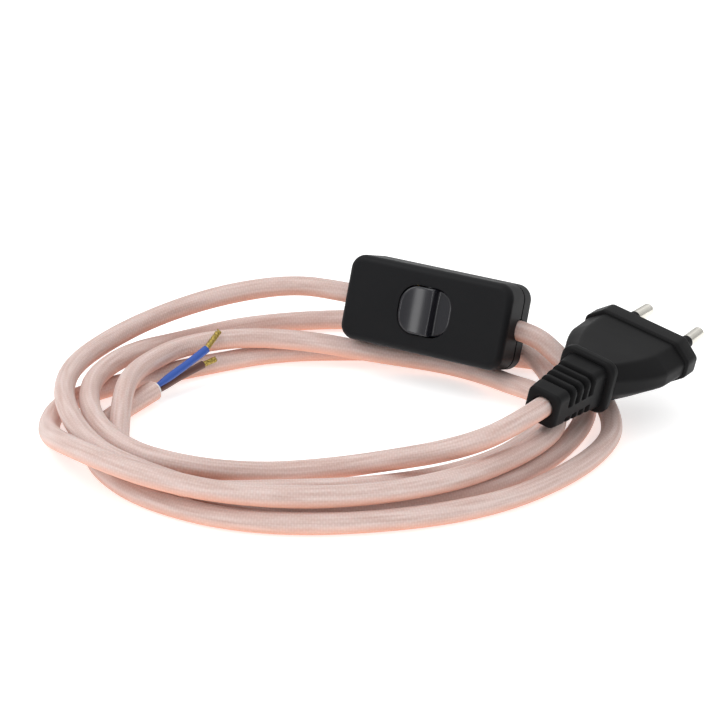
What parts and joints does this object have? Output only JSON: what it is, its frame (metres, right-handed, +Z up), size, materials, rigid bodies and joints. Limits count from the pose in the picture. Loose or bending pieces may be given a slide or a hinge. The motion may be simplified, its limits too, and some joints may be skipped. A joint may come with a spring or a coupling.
{
  "type": "lamp cord with switch",
  "caption": "Fabric-covered lamp cord with a flat moulded plug, an in-line rocker switch and a bare wire end, lying in a loose coil.",
  "frame": {"origin": "bottom centre of the whole part as it lies, on the surface under the coil", "axes": "+X along the longest extent, towards the plug; +Z up from the surface; +Y away from the side that shows the rocker"},
  "size_m": [0.1962, 0.1453, 0.0367],
  "materials": {
    "plug_plastic": "fine matt texture",
    "switch_plastic": "fine matt texture",
    "rocker_plastic": "gloss",
    "clamp_plastic": "matt",
    "nickel": "nickel plate",
    "steel": "zinc plate",
    "brass": "plain",
    "cord_fabric": "woven rayon",
    "sheath": "satin",
    "blue_insulation": "satin",
    "brown_insulation": "satin",
    "strand_metal": "twisted fine strands"
  },
  "bodies": {
    "cord_set": {"plug_body": "plug_plastic", "plug_pin_bridge": "plug_plastic", "plug_pin_left": "nickel", "plug_pin_right": "nickel", "plug_crimps": "brass", "plug_conductor_brown": "brown_insulation", "plug_conductor_blue": "blue_insulation", "switch_front_shell": "switch_plastic", "switch_back_shell": "switch_plastic", "line_terminal_left": "brass", "line_terminal_right": "brass", "neutral_terminal": "brass", "cord_clamp_left": "clamp_plastic", "cord_clamp_right": "clamp_plastic", "clamp_screws": "steel", "housing_screws": "steel", "terminal_screws": "steel", "line_conductor_left": "brown_insulation", "line_conductor_right": "brown_insulation", "neutral_conductor_left": "blue_insulation", "neutral_conductor_right": "blue_insulation", "fabric_cord_plug_side": "cord_fabric", "fabric_cord_lamp_side": "cord_fabric", "inner_sheath_end": "sheath", "blue_wire": "blue_insulation", "brown_wire": "brown_insulation", "blue_strands": "strand_metal", "brown_strands": "strand_metal"},
    "rocker": {"switch_rocker": "rocker_plastic", "rocker_plunger": "clamp_plastic", "rocker_spring": "steel"},
    "seesaw": {"seesaw_contact": "brass"}
  },
  "joints": [
    {"name": "rocker_tilt", "type": "hinge", "parent": "cord_set", "child": "rocker", "pos_m": [0.01441, 0.02666, 0.02427], "axis": [-0.1809, -0.3103, -0.9333], "range_deg": [0, 24]},
    {"name": "seesaw_tilt", "type": "hinge", "parent": "cord_set", "child": "seesaw", "pos_m": [0.01717, 0.03185, 0.02201], "axis": [-0.1809, -0.3103, -0.9333], "range_deg": [-12, 0]}
  ],
  "couplings": [
    {"joint": "seesaw_tilt", "follows": "rocker_tilt", "ratio": -0.5}
  ]
}
